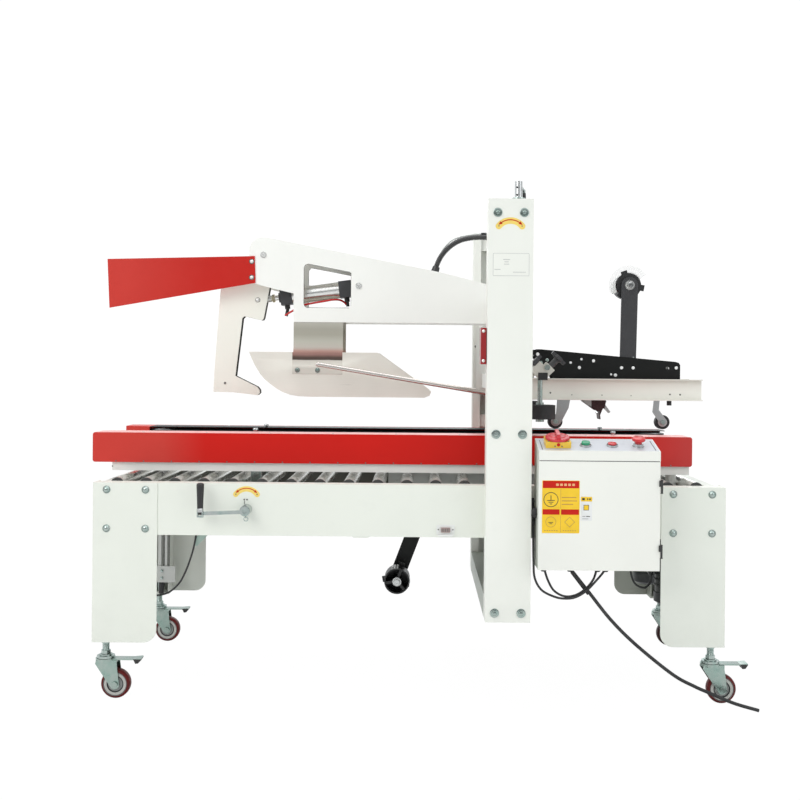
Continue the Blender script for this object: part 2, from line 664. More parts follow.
# Control box: shaded left side, silver panel on the slope, yellow and bright plates on it,
# grey inside, black hinge barrels
slope_height = projected("YZ", (PANEL_Y * MM, PANEL_Z * MM), (-0.25163, 0.96782))
above_panel = more(slope_height, 0.0006)
material(
    "control_box", powder(CABINET_WHITE, rough=0.42),
    (inside(x=(None, 0.3376)), powder((0.60, 0.63, 0.57), rough=0.45)),
    (both(more(slope_height, -0.0004), inside(x=(0.3385, 0.6525), y=(-0.4355, -0.3412))),
     metal((0.60, 0.62, 0.66), rough=0.45, stretch=(0.04, 1, 1), scale=300.0, bump=0.03,
           vary=0.04, metallic=0.35)),
    (both(above_panel, inside(x=(0.354, 0.425))),
     plastic((0.83, 0.54, 0.05), rough=0.30, bump=0.03)),
    (both(above_panel, inside(x=(0.44, 0.63))),
     metal((0.60, 0.61, 0.62), rough=0.20, scale=120.0, bump=0.02)),
    (inside(x=(0.3385, 0.6525), y=(-0.4355, -0.3415), z=(0.3855, 0.69)),
     powder((0.45, 0.46, 0.44), rough=0.5)),
    (inside(x=(0.6542, 0.67)), plastic(SOOT, rough=0.4)), parts="control_box")
material(
    "control_door", powder(CABINET_WHITE, rough=0.42),
    (inside(y=(-0.46, -0.4405), x=(0.648, 0.67)), plastic(SOOT, rough=0.4)),
    (inside(x=(0.6540, 0.67)), plastic(SOOT, rough=0.4)), parts="control_door")
crank_zinc = material("crank_zinc", zinc((0.46, 0.49, 0.48), rough=0.16), parts="width_crank")
material(
    "height_crank", metal((0.66, 0.67, 0.67), rough=0.24, stretch=(1, 1, 0.1), scale=320.0),
    (inside(z=(1.3955, 1.4025), y=(-0.362, -0.25)), zinc()),
    (inside(z=(1.361, 1.3954), y=(-0.27, -0.23)), plastic(JET)), parts="height_crank")


# Clamps: masks in directions turned 45 degrees in XZ, about the guide rods' planes
def within(tree, value, limit):
    return tree.math("LESS_THAN", tree.math("ABSOLUTE", value), limit)


def off_rod(tree):
    return tree.math("SUBTRACT", span("Y")(tree), 0.175)


def diagonals(tree, centre_x, centre_z):
    """Distances from a centre towards +X+Z and towards -X+Z."""
    x = tree.math("SUBTRACT", tree.xyz["X"], centre_x)
    z = tree.math("SUBTRACT", tree.xyz["Z"], centre_z)
    return (tree.math("MULTIPLY", tree.math("ADD", x, z), 0.70711),
            tree.math("MULTIPLY", tree.math("SUBTRACT", z, x), 0.70711))


def clamp_block(tree):
    squares = []
    for centre_x, half in ((0.366, 0.0183), (0.386, 0.0163)):
        rising, falling = diagonals(tree, centre_x, 0.904)
        squares.append(tree.math("MULTIPLY", within(tree, rising, half),
                                 within(tree, falling, half)))
    return tree.math("MULTIPLY", tree.math("MAXIMUM", *squares),
                     within(tree, off_rod(tree), 0.0172))


def clamp_knob(tree):
    rising, falling = diagonals(tree, 0.386, 0.904)
    right = tree.math("MULTIPLY", tree.math("GREATER_THAN", rising, 0.0166),
                      within(tree, falling, 0.026))
    rising, falling = diagonals(tree, 0.388, 0.894)
    left = tree.math("MULTIPLY", tree.math("GREATER_THAN", falling, 0.0410),
                     within(tree, rising, 0.026))
    knob = tree.math("MULTIPLY", tree.math("MAXIMUM", right, left),
                     within(tree, off_rod(tree), 0.026))
    return tree.math("MULTIPLY", knob, tree.math("GREATER_THAN", tree.xyz["Z"], 0.905))


def clamp_foot(tree):
    box = inside(x=(0.3605, 0.3885), z=(0.8755, 0.8975))(tree)
    offset = off_rod(tree)
    shell = tree.math("MULTIPLY", within(tree, offset, 0.0215),
                      tree.math("GREATER_THAN", offset, 0.0174))
    return tree.math("MULTIPLY", box, shell)


material(
    "clamps", zinc((0.40, 0.43, 0.41), rough=0.26),
    (clamp_block, metal((0.72, 0.69, 0.62), rough=0.36, scale=200.0, bump=0.06, vary=0.08,
                        metallic=0.6)),
    (clamp_knob, plastic((0.050, 0.050, 0.053), rough=0.36, bump=0.2)),
    (clamp_foot, plastic(JET, rough=0.36, bump=0.2)), parts="side_clamps")
material(
    "bolts_pale", metal((0.80, 0.81, 0.79), rough=0.24, scale=200.0, vary=0.05, metallic=0.55),
    parts="carriage_bolts")
fastener_zinc = material(
    "fasteners_zinc", zinc((0.40, 0.45, 0.43), rough=0.18), parts="frame_fasteners")

# Beams: duller towards the top, steel below, a rubber foot on the front one
beam_bottom = inside(z=(0.79, 0.8172))
material(
    "beams", powder((0.86, 0.845, 0.775), rough=0.36),
    (fade(along("Z"), (0.845, 0.882), to=(0.0, 0.55)), powder((0.62, 0.59, 0.53), rough=0.36)),
    (inside(z=(None, 0.8172)), metal((0.46, 0.47, 0.47), rough=0.34)),
    (inside(z=(None, 0.8172), x=(0.753, 0.771), y=(-0.08, -0.064)), rubber()),
    (both(beam_bottom, less(from_line(x=0.762, y=-0.072), 0.0075)), rubber()),
    parts="outfeed_beams")
material(
    "knife_steel", metal((0.085, 0.045, 0.045), rough=0.42, vary=0.4, metallic=0.6),
    (both(less(along("X"), 0.5405), more(along("Z"), 0.79)),
     metal((0.50, 0.49, 0.47), rough=0.3)),
    (inside(x=(0.5835, 0.62), z=(0.77, 0.8005)), metal((0.62, 0.62, 0.60), rough=0.3)),
    parts="upper_knife")
material(
    "roller_arms", metal((0.52, 0.52, 0.51), rough=0.32, scale=240.0),
    parts="upper_front_arm upper_rear_arm lower_front_arm lower_rear_arm")


# ---------------------------------------------------------------- finish of the CAD pieces
def tidy_group():
    """Node group that welds the tessellation's seams and shades by angle."""
    group = bpy.data.node_groups.new("tidy", "GeometryNodeTree")
    for direction in ("INPUT", "OUTPUT"):
        group.interface.new_socket(
            "Geometry", in_out=direction, socket_type="NodeSocketGeometry")
    add, link = group.nodes.new, group.links.new
    source = add("NodeGroupInput")
    result = add("NodeGroupOutput")
    strip = add("GeometryNodeRemoveAttribute")
    strip.inputs["Name"].default_value = "custom_normal"
    weld = add("GeometryNodeMergeByDistance")
    weld.inputs["Distance"].default_value = 0.000004
    smooth = add("GeometryNodeSetShadeSmooth")
    smooth.domain = "FACE"
    smooth.inputs["Shade Smooth"].default_value = True
    crease = add("GeometryNodeSetShadeSmooth")
    crease.domain = "EDGE"
    crease.inputs["Shade Smooth"].default_value = False
    angle = add("GeometryNodeInputMeshEdgeAngle")
    steep = add("FunctionNodeCompare")
    steep.data_type = "FLOAT"
    steep.operation = "GREATER_THAN"
    steep.inputs[1].default_value = math.radians(31)
    chain = (source, strip, weld, smooth, crease, result)
    for before, after in zip(chain, chain[1:]):
        link(before.outputs[0], after.inputs[0])
    link(angle.outputs[0], steep.inputs[0])
    link(steep.outputs[0], crease.inputs["Selection"])
    return group


# Edge radius in millimetres: the CAD pieces that have it
BEVEL_GROUPS = {
    1.5: "side_roller_front side_roller_rear",
    1.2: "side_rails mast_columns",
    1.0: "leg_plates",
    0.9: "belt_guard_front belt_guard_rear control_door",
    0.8: "lower_head_frame lower_reel_arm flap_arm nose_guard bed_rollers press_wheels_infeed "
         "press_wheels_outfeed isolator_knob start_button stop_button drive_pulley_front "
         "drive_pulley_rear idler_pulley_front idler_pulley_rear",
    0.7: "outfeed_beams kicker lift_carriage",
    0.6: "cross_members belt_base_front belt_base_rear cylinder_barrel",
    0.5: "plough upper_head_frame side_clamps width_crank height_crank upper_reel_hub "
         "lower_reel_hub caster_fork_fl caster_fork_fr caster_fork_rl caster_fork_rr",
    0.4: "control_box",
    0.3: "estop_button crank_grip"}
BEVELS = {part: width for width, parts in BEVEL_GROUPS.items() for part in parts.split()}


def add_bevel(thing, width, angle):
    bevel = thing.modifiers.new("edge", "BEVEL")
    bevel.width = width * MM
    bevel.segments = 2
    bevel.limit_method = "ANGLE"
    bevel.angle_limit = math.radians(angle)
    bevel.harden_normals = True
    return bevel


def finish_cad(tidy):
    for name, thing in nodes.items():
        thing.data.materials.clear()
        thing.data.materials.append(cad_materials[name])
        thing.modifiers.new("tidy", "NODES").node_group = tidy
        if name in BEVELS:
            flatten = thing.modifiers.new("flat", "DECIMATE")
            flatten.decimate_type = "DISSOLVE"
            flatten.angle_limit = math.radians(0.4)
            bevel = add_bevel(thing, BEVELS[name], angle=40)
            bevel.use_clamp_overlap = True
            bevel.miter_outer = "MITER_ARC"


finish_cad(tidy_group())


# ---------------------------------------------------------------- mesh building
def basis(axis):
    """Two unit vectors across an axis, and the axis at unit length."""
    axis = Vector(axis).normalized()
    helper = Z if abs(axis.z) < 0.9 else X
    across = helper.cross(axis).normalized()
    return across, axis.cross(across).normalized(), axis


def spline(points, steps, closed=False):
    """Catmull-Rom curve through the points, in steps per span."""
    points = [Vector(point) for point in points]
    if closed:
        padded = [points[-1]] + points + [points[0], points[1]]
    else:
        padded = [2 * points[0] - points[1]] + points + [2 * points[-1] - points[-2]]
    curve = []
    for i in range(len(padded) - 3):
        p0, p1, p2, p3 = padded[i:i + 4]
        for k in range(steps):
            t = k / steps
            curve.append(0.5 * (
                (2 * p1) + (p2 - p0) * t + (2 * p0 - 5 * p1 + 4 * p2 - p3) * t * t
                + (3 * p1 - p0 - 3 * p2 + p3) * t ** 3))
    if not closed:
        curve.append(points[-1])
    return curve


def rounded_rect(x0, x1, y0, y1, radius, steps=5):
    outline = []
    for x, y, start in ((x1 - radius, y1 - radius, 0), (x0 + radius, y1 - radius, 90),
                        (x0 + radius, y0 + radius, 180), (x1 - radius, y0 + radius, 270)):
        for i in range(steps + 1):
            turn = math.radians(start + 90 * i / steps)
            outline.append((x + radius * math.cos(turn), y + radius * math.sin(turn)))
    return outline


def grid_faces(rows, seg):
    """Quads between rows of seg vertices, with both ends closed."""
    faces = [(i * seg + k, i * seg + (k + 1) % seg,
              (i + 1) * seg + (k + 1) % seg, (i + 1) * seg + k)
             for i in range(rows - 1) for k in range(seg)]
    return faces + [tuple(range(seg - 1, -1, -1)), tuple(range((rows - 1) * seg, rows * seg))]


class Solid:
    """Collects shapes, in millimetres, into one mesh; slot is a shape's material slot."""

    def __init__(self):
        self.verts, self.faces, self.slots = [], [], []

    def add(self, verts, faces, slot=0):
        first = len(self.verts)
        self.verts += [Vector(point) for point in verts]
        for face in faces:
            self.faces.append(tuple(i + first for i in face))
            self.slots.append(slot)

    def lathe(self, profile, origin, axis, seg=32, slot=0):
        """Turn (radius, height) pairs about the axis; a radius of 0 makes a single vertex."""
        across, upward, axis = basis(axis)
        origin = Vector(origin)
        verts, rings = [], []
        for radius, height in profile:
            if radius <= 1e-9:
                rings.append([len(verts)])
                verts.append(origin + axis * height)
                continue
            rings.append(list(range(len(verts), len(verts) + seg)))
            for i in range(seg):
                turn = 2 * math.pi * i / seg
                verts.append(origin + axis * height + across * (radius * math.cos(turn))
                             + upward * (radius * math.sin(turn)))
        faces = []
        for low, high in zip(rings, rings[1:]):
            for i in range(seg):
                j = (i + 1) % seg
                if len(low) == 1:
                    faces.append((low[0], high[j], high[i]))
                elif len(high) == 1:
                    faces.append((low[i], low[j], high[0]))
                else:
                    faces.append((low[i], low[j], high[j], high[i]))
        self.add(verts, faces, slot)

    def ring(self, section, origin, axis, seg=40, slot=0, arc=(0.0, 360.0)):
        """Turn a closed (radius, height) section through an arc in degrees."""
        across, upward, axis = basis(axis)
        origin = Vector(origin)
        start, end = arc
        full = end - start >= 359.99
        columns = seg if full else seg + 1
        verts, count = [], len(section)
        for i in range(columns):
            turn = math.radians(start + (end - start) * i / seg)
            for radius, height in section:
                verts.append(origin + axis * height + across * (radius * math.cos(turn))
                             + upward * (radius * math.sin(turn)))
        faces = []
        for i in range(seg):
            here, there = i * count, ((i + 1) % columns) * count
            for k in range(count):
                j = (k + 1) % count
                faces.append((here + k, here + j, there + j, there + k))
        if not full:
            faces.append(tuple(range(count - 1, -1, -1)))
            faces.append(tuple(range((columns - 1) * count, columns * count)))
        self.add(verts, faces, slot)

    def box(self, x0, x1, y0, y1, z0, z1, slot=0, matrix=Matrix()):
        corners = ((x0, y0, z0), (x1, y0, z0), (x1, y1, z0), (x0, y1, z0),
                   (x0, y0, z1), (x1, y0, z1), (x1, y1, z1), (x0, y1, z1))
        self.add([matrix @ Vector(corner) for corner in corners],
                 [(0, 3, 2, 1), (4, 5, 6, 7), (0, 1, 5, 4), (1, 2, 6, 5), (2, 3, 7, 6),
                  (3, 0, 4, 7)], slot)

    def prism(self, outline, origin, first_axis, second_axis, depth, slot=0):
        """Outline on two axes from an origin, pushed out by the vector depth."""
        origin, depth = Vector(origin), Vector(depth)
        first_axis, second_axis = Vector(first_axis), Vector(second_axis)
        near = [origin + first_axis * a + second_axis * b for a, b in outline]
        count = len(near)
        faces = [tuple(range(count - 1, -1, -1)), tuple(range(count, 2 * count))]
        faces += [(i, (i + 1) % count, count + (i + 1) % count, count + i)
                  for i in range(count)]
        self.add(near + [point + depth for point in near], faces, slot)

    def plate(self, outline, y, depth, slot=0):
        """(x, z) outline from the plane y, pushed along Y by depth."""
        self.prism(outline, (0, y, 0), X, Z, (0, depth, 0), slot)

    def tube(self, points, radius, seg=12, slot=0):
        """Round tube along points; radius is a number, or a list with one for each point."""
        points = [Vector(point) for point in points]
        radii = radius if isinstance(radius, list) else [radius] * len(points)
        before = (points[1] - points[0]).normalized()
        across = basis(before)[0]
        last = len(points) - 1
        verts = []
        for i, point in enumerate(points):
            tangent = (points[min(i + 1, last)] - points[max(i - 1, 0)]).normalized()
            across = before.rotation_difference(tangent) @ across
            across = (across - tangent * across.dot(tangent)).normalized()
            upward = tangent.cross(across)
            before = tangent
            for k in range(seg):
                turn = 2 * math.pi * k / seg
                verts.append(point + across * (radii[i] * math.cos(turn))
                             + upward * (radii[i] * math.sin(turn)))
        self.add(verts, grid_faces(len(points), seg), slot)

    def thread(self, origin, axis, radius, pitch, length, depth, seg):
        """A helical thread that runs out at both ends, four rows of vertices per turn."""
        across, upward, axis = basis(axis)
        origin = Vector(origin)
        rows = int(length / pitch * 4)
        verts = []
        for j in range(rows + 1):
            height = length * j / rows
            for i in range(seg):
                phase = (height / pitch - i / seg) % 1.0
                crest = 1 - abs(2 * phase - 1)
                edge = min(1.0, min(height, length - height) / (pitch * 0.6))
                reach = radius - depth * (1 - crest) * edge - 0.3 * (1 - edge)
                turn = 2 * math.pi * i / seg
                verts.append(origin + axis * height + across * (reach * math.cos(turn))
                             + upward * (reach * math.sin(turn)))
        self.add(verts, grid_faces(rows + 1, seg))

    def screw(self, origin, axis, radius, height, seg=20, slot=0):
        """Domed cap screw with a socket; the axis points out of the sheet."""
        socket = radius * 0.40
        self.lathe([
            (0, -0.6), (radius, -0.6), (radius, 0.25 * height), (radius * 0.93, 0.55 * height),
            (radius * 0.74, 0.86 * height), (radius * 0.52, height), (socket * 1.12, height),
            (socket, height - 0.1 * height), (socket * 0.96, height * 0.35),
            (0, height * 0.28)], origin, axis, seg, slot)

    def hex_head(self, origin, axis, radius, height, slot=0):
        self.lathe([(0, 0), (radius, 0), (radius, height * 0.86), (radius * 0.88, height),
                    (0, height)], origin, axis, 6, slot)

    def build(self, name, materials, slot, body="frame", bevel=0.0, angle=35):
        mesh = bpy.data.meshes.new(name)
        mesh.from_pydata([point * MM for point in self.verts], [], self.faces)
        for entry in materials if isinstance(materials, list) else [materials]:
            mesh.materials.append(entry)
        for face, index in zip(mesh.polygons, self.slots):
            face.material_index = index
            face.use_smooth = True
        edit = bmesh.new()
        edit.from_mesh(mesh)
        bmesh.ops.recalc_face_normals(edit, faces=edit.faces)
        edit.to_mesh(mesh)
        edit.free()
        mesh.set_sharp_from_angle(angle=math.radians(angle))
        thing = bpy.data.objects.new(name, mesh)
        scene.collection.objects.link(thing)
        if bevel:
            add_bevel(thing, bevel, angle)
        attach(thing, body)
        return thing


# ---------------------------------------------------------------- power leads
# Centre lines (x, y, z)
MAINS_LEAD = [
    (428, -385, 386), (429, -385, 377), (437, -385, 368), (481, -385, 313.5), (539, -385, 242),
    (607, -385, 176), (703, -385, 100), (761, -385, 68.8), (800, -385, 52), (866, -385, 25),
    (932, -386, 6.5)]
MAINS_SLEEVE = [(433, -385, 370), (447, -384, 352), (478, -384, 312)]
SHORT_LOOP = [
    (358, -385, 386), (360, -387, 376), (369, -396, 348), (385, -398, 322), (412, -398, 308),
    (441, -398, 311), (468, -398, 328), (488, -396, 352), (498, -388, 376), (501, -386, 386)]
LONG_LOOP = [
    (332, -350, 560), (330.5, -372, 520), (329.5, -388, 458), (329.5, -399, 400),
    (333, -401, 356), (351, -403, 325), (384, -404, 308), (412, -404, 303), (441, -404, 307),
    (470, -404, 325), (498, -402, 354), (516, -394, 373), (522, -389, 386)]
# Glands (radius, place along the axis)
SIDE_GLAND = [(0, 323.2), (7, 323.2), (8.4, 324.4), (8.6, 326), (12, 326.4), (12.6, 328),
              (12.6, 333), (11.8, 334), (11.8, 336.8), (0, 336.8)]
SIDE_GLAND_NUT = [(0, 329), (14, 329), (15.2, 329.8), (15.2, 335.4), (14, 336.2), (0, 336.2)]
FLOOR_GLAND = [(0, 371), (6, 371), (7.4, 372.4), (9, 376), (9.4, 380.5), (7, 381), (7, 387),
               (0, 387)]

piece = Solid()
piece.tube(spline(MAINS_LEAD, 14), 4.6, seg=16)
piece.tube(spline(MAINS_SLEEVE, 10), 5.0, seg=16)
for path in (SHORT_LOOP, LONG_LOOP):
    piece.tube(spline(path, 12), 3.0, seg=14)
piece.lathe(SIDE_GLAND, (0, -395, 527), X, seg=24)
piece.lathe(SIDE_GLAND_NUT, (0, -395, 527), X, seg=6)
for x in (358, 428, 501, 522):
    piece.lathe(FLOOR_GLAND, (x, -385, 0), Z, seg=20)
leads = piece.build("power_leads", black_rubber, "belt_rubber", angle=50)
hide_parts("cables")

# ---------------------------------------------------------------- frame details
piece = Solid()
for side_x in (-1, 1):
    for side in (-1, 1):
        piece.thread((side_x * CASTER_X, side * CASTER_Y, 130), Z, radius=9.6, pitch=2.2,
                     length=21, depth=0.9, seg=28)
piece.build("caster_stem_threads", fastener_zinc, "zinc_plate", angle=80)

piece = Solid()
for side_x in (-1, 1):
    for side in (-1, 1):
        for x in (713, 818):
            for z in (467, 572):
                piece.ring([(8.9, 0), (10.6, 0), (10.6, 0.9), (10.2, 1.25), (8.9, 1.25)],
                           (side_x * x, side * 334.9, z), side * Y, seg=32)
piece.build("leg_bolt_washers", fastener_zinc, "zinc_plate")


def crescent(name, centre_x, centre_z, y, half_width, rise, band):
    """Yellow crescent decal with a two-way arrow and two rivets, facing -Y."""
    radius = (half_width ** 2 + rise ** 2) / (2 * rise)
    half_angle = math.asin(half_width / radius)
    centre = Vector((centre_x, 0, centre_z + rise / 2 - radius))

    def directions(angle, end):
        """Out from the centre, and onward along the arc towards an end."""
        return (Vector((math.sin(angle), 0, math.cos(angle))),
                Vector((math.cos(angle), 0, -math.sin(angle))) * end)

    def arc(limit, offset):
        return [centre + directions(-limit + 2 * limit * i / 22, 1)[0] * (radius + offset)
                for i in range(23)]

    def cap(end):
        out, onward = directions(half_angle * end, end)
        turns = [math.pi * i / 8 for i in range(1, 8)]
        return [centre + out * radius + out * (band / 2 * math.cos(turn))
                + onward * (band / 2 * math.sin(turn)) for turn in turns]

    def flat(points):
        return [(point.x, point.z) for point in points]

    piece = Solid()
    piece.plate(flat(arc(half_angle, band / 2) + cap(1)
                     + arc(half_angle, -band / 2)[::-1] + cap(-1)[::-1]), y, -0.5)
    arrow_angle = half_angle * 0.70
    arrow = arc(arrow_angle, band * 0.20) + arc(arrow_angle, band * 0.04)[::-1]
    piece.plate(flat(arrow), y - 0.45, -0.25, slot=1)
    for end in (-1, 1):
        out, onward = directions(arrow_angle * end, end)
        base = centre + out * (radius + band * 0.12)
        head = [base + out * band * 0.26 - onward, base + onward * band * 0.55,
                base - out * band * 0.26 - onward]
        piece.plate(flat(head), y - 0.45, -0.25, slot=1)
    for end in (-1, 1):
        out = directions(half_angle * 0.98 * end, end)[0]
        piece.lathe([(0, 0), (1.7, 0), (1.6, 0.5), (0.9, 0.9), (0, 1.0)],
                    centre + out * radius + Y * (y - 0.45), FRONT, seg=14, slot=2)
    piece.build(name, [yellow_crescent, label_red, dark_steel], "white_paint", angle=40)


crescent("width_crank_decal", centre_x=-440.5, centre_z=569, y=RAIL_FACE_Y, half_width=29,
         rise=15, band=14.5)
crescent("height_crank_decal", centre_x=261.5, centre_z=1292, y=-MAST_FACE_Y, half_width=31,
         rise=15, band=17)

# Name plate on the column, with faint lines
NAME_PLATE_LINES = (  # middle x, middle z, width, height
    (252, 1196, 18, 1.4), (252, 1190, 11, 1.4), (252, 1184, 14, 1.4), (228, 1170, 16, 1.2),
    (286, 1163, 34, 1.2))
piece = Solid()
piece.plate(rounded_rect(216, 312, 1153, 1213, 2), -MAST_FACE_Y, -0.7)
piece.plate(rounded_rect(216.9, 311.1, 1153.9, 1212.1, 1.4), -395.65, -0.15, slot=1)
for x, z, width, height in NAME_PLATE_LINES:
    piece.box(x - width / 2, x + width / 2, -395.95, -395.75, z - height / 2, z + height / 2,
              slot=2)
piece.build("blank_name_plate", [plate_rim, white_mast, faint_ink], "white_paint")

# Two small screws above the width crank, and a short pin below them
piece = Solid()
for x in (-446.5, -439):
    piece.screw((x, RAIL_FACE_Y, 547.5), FRONT, 2.3, 1.6, seg=16)
piece.tube([(-445.5, -333.0, 544), (-446, -333.2, 536)], 0.8, seg=8)
piece.build("crank_stop_screws", dark_steel, "zinc_plate")

# Sensor and its bracket on the front of the rail
piece = Solid()
piece.plate(rounded_rect(74, 123, 458, 484, 2.5), RAIL_FACE_Y, -1.6)
piece.plate([(76, 458.5), (121, 458.5), (117, 453.5), (80, 453.5)], RAIL_FACE_Y, -7)
for x in (79, 118):
    piece.box(x - 3.5, x + 3.5, -338.5, RAIL_FACE_Y, 466, 478)
    piece.screw((x, -338.5, 472), FRONT, 2.0, 1.2, seg=14, slot=1)
piece.plate(rounded_rect(86, 111, 464, 477, 2), -333, -6.5, slot=2)
for k in range(5):
    piece.box(88 + k * 4.6, 90.4 + k * 4.6, -340.0, -339.2, 466, 475, slot=1)
piece.build("photo_sensor", [pale_plate, dark_steel, sensor_body], "aluminium", bevel=0.4)

# Shallow clip under the front rail
piece = Solid()
piece.plate([(-156, 450.5), (-150, 446.5), (-112, 446.5), (-104, 450.5)], -330, 26)
piece.build("rail_clip", white, "white_paint", bevel=1.0)

# Gussets under the rails, beside the left legs
for side, label in SIDES:
    piece = Solid()
    piece.plate([(-586, 452), (-540, 452), (-552, 444), (-579, 416), (-586, 416)],
                side * 296, side * 3)
    piece.build("rail_gusset_" + label, shade_green, "grey_paint", bevel=0.6)

# Thin lead from the bed down into the front left leg
piece = Solid()
piece.tube(spline([
    (-582, -300, 455), (-583, -306, 436), (-590, -310, 400), (-606, -312, 352),
    (-628, -312, 312), (-664, -310, 286), (-720, -306, 280), (-790, -305, 285)], 12), 2.6)
piece.build("leg_lead", black_rubber, "belt_rubber", angle=60)

# Post in the rear left leg: bars and clamp block, bolts, rubber sleeve
piece = Solid()
for bounds in ((-822, -811, 258, 268, 252, 372, 0), (-800, -792, 258, 268, 252, 372, 0),
               (-808, -803, 262, 270, 252, 372, 2), (-789, -786, 262, 270, 252, 372, 2),
               (-822, -764, 250, 257, 202, 254, 0)):  # x, y and z ranges, slot
    piece.box(*bounds)
for z in (217, 240):
    piece.hex_head((-807, 250, z), FRONT, 5.6, 3.6, slot=1)
    piece.lathe([(0, 0), (3, 0), (3, 6), (0, 6)], (-807, 247, z), FRONT, seg=16, slot=1)
piece.lathe([(0, 163), (7, 163), (8.5, 165), (8.5, 200), (7, 203), (0, 203)],
            (-811, 262, 0), Z, seg=24, slot=3)
piece.build("rear_leg_post", [grey_paint, fastener_zinc, dark_steel, black_rubber],
            "grey_paint", bevel=0.5)

# Cups and nuts at both ends of every roller
piece = Solid()
for i in range(ROLLER_COUNT):
    x = FIRST_ROLLER_X + ROLLER_PITCH * i
    for side in (-1, 1):
        piece.ring([(6.1, 0), (9.0, 0), (9.6, 0.8), (9.6, 4.2), (8.4, 5.4), (6.1, 5.4)],
                   (x, side * 323.6, ROLLER_Z), side * Y, seg=24)
        piece.hex_head((x, side * 322.4, ROLLER_Z), side * Y, 9.6, 1.6)
piece.build("roller_lock_nuts", fastener_zinc, "zinc_plate", bevel=0.2)

# ---------------------------------------------------------------- control panel
# Panel frame: x along the machine, y up the slope, z out of the face
PANEL = (Matrix.Translation((0, PANEL_Y, PANEL_Z))
         @ Matrix.Rotation(math.radians(PANEL_TILT), 4, "X"))
PANEL_TURN = PANEL.to_3x3()
PANEL_NORMAL = (PANEL_TURN @ Z).normalized()


def on_panel(x, up, height=0):
    return PANEL @ Vector((x, up, height))


# Dark line under the hood, slots at both ends, edge strips and hinge pins
piece = Solid()
piece.box(339, 652, -439.2, -436.8, 667.9, 670.2)
for x in (347.5, 643.5):
    piece.box(x - 0.9, x + 0.9, 8, 84, 0.0, 0.5, matrix=PANEL)
for low, high in ((3.5, 4.3), (94.5, 95.3)):
    piece.box(341, 650, low, high, 0.0, 0.35, slot=1, matrix=PANEL)
for z in (418, 587):
    for rise in (-0.4, 34.4):
        piece.lathe([(0, -0.6), (3.8, -0.6), (3.8, 0.6), (0, 0.6)],
                    (657.2, -441, z + rise), Z, seg=20)
piece.build("panel_trim", [label_ink, pale_plate], "black_plastic")

# Button collars (radius, height)
PUSH_COLLAR = [(12.3, -0.6), (16.3, -0.6), (16.3, 0.2), (15.9, 0), (14.4, 0), (14.7, 0.4),
               (14.7, 4.0), (13.9, 4.9), (12.3, 4.9)]
ESTOP_COLLAR = [(9.4, -0.6), (15.4, -0.6), (15.4, 0.3), (14.0, 0.5), (13.8, 8.0),
                (12.8, 8.62), (9.4, 8.62)]
for name, x, section in (("start_collar", 465, PUSH_COLLAR), ("stop_collar", 535, PUSH_COLLAR),
                         ("estop_collar", 604, ESTOP_COLLAR)):
    piece = Solid()
    piece.ring(section, on_panel(x, PANEL_BUTTON_ROW), PANEL_NORMAL, seg=48)
    piece.build(name, chrome, "aluminium", angle=30)

# Isolator plinth: four face screws, and three round marks on its lower flank
piece = Solid()
for offset in (-26, 26):
    for up in (-21, 21):
        piece.screw(on_panel(ISOLATOR_X + offset, ISOLATOR_ROW + up, 17), PANEL_NORMAL,
                    2.4, 1.4, seg=16)
down_slope = PANEL_TURN @ FRONT
for offset, height, radius, seg, slot in ((-9, 6, 2.0, 16, 0), (9, 6, 2.0, 16, 0),
                                          (0, 10, 4.6, 20, 1)):
    piece.lathe([(0, -0.2), (radius, -0.2), (radius, 0.35), (0, 0.35)],
                on_panel(ISOLATOR_X + offset, 18, height), down_slope, seg=seg, slot=slot)
piece.build("isolator_screws", [dark_steel, label_red], "zinc_plate")

# Isolator grip: rim, teeth around it and a bar across
piece = Solid()
piece.ring([(24.5, 17.6), (30.2, 17.6), (31.2, 18.4), (31.2, 22.6), (30.6, 24.4),
            (29.6, 25.2), (24.5, 25.2)], on_panel(ISOLATOR_X, ISOLATOR_ROW), PANEL_NORMAL,
           seg=56)
isolator_frame = PANEL @ Matrix.Translation((ISOLATOR_X, ISOLATOR_ROW, 0))
for k in range(24):
    piece.box(30.4, 32.2, -1.4, 1.4, 18.6, 24.2,
              matrix=isolator_frame @ Matrix.Rotation(2 * math.pi * k / 24, 4, "Z"))
piece.prism([(-4.4, -24), (4.4, -24), (5.6, 0), (4.4, 24), (-4.4, 24), (-5.6, 0)],
            on_panel(ISOLATOR_X, ISOLATOR_ROW, 33.5), PANEL_TURN @ X, PANEL_TURN @ Y,
            PANEL_NORMAL * 3.2)
piece.build("isolator_grip", isolator_red, "red_plastic", body="isolator_knob", bevel=0.7)


# ---------------------------------------------------------------- door labels
class Label(Solid):
    """A label on the door; places are measured from its lower left corner."""

    def __init__(self, left, bottom):
        super().__init__()
        self.left, self.bottom = left, bottom

    def patch(self, x0, x1, z0, z1, rise, slot, corner=0.8):
        outline = rounded_rect(self.left + x0, self.left + x1, self.bottom + z0,
                               self.bottom + z1, corner, steps=3)
        self.plate(outline, DOOR_FACE_Y, -rise, slot)

    def diamond(self, x, z, radius, rise, slot, turn=0):
        angles = [math.radians(90 * k + turn) for k in range(4)]
        self.plate([(self.left + (x + radius * math.cos(angle)),
                     self.bottom + (z + radius * math.sin(angle))) for angle in angles],
                   DOOR_FACE_Y, -rise, slot)

    def circle(self, x, z, inner, outer, seg, slot):
        self.ring([(inner, 0.5), (outer, 0.5), (outer, 0.66), (inner, 0.66)],
                  (self.left + x, DOOR_FACE_Y, self.bottom + z), FRONT, seg, slot)


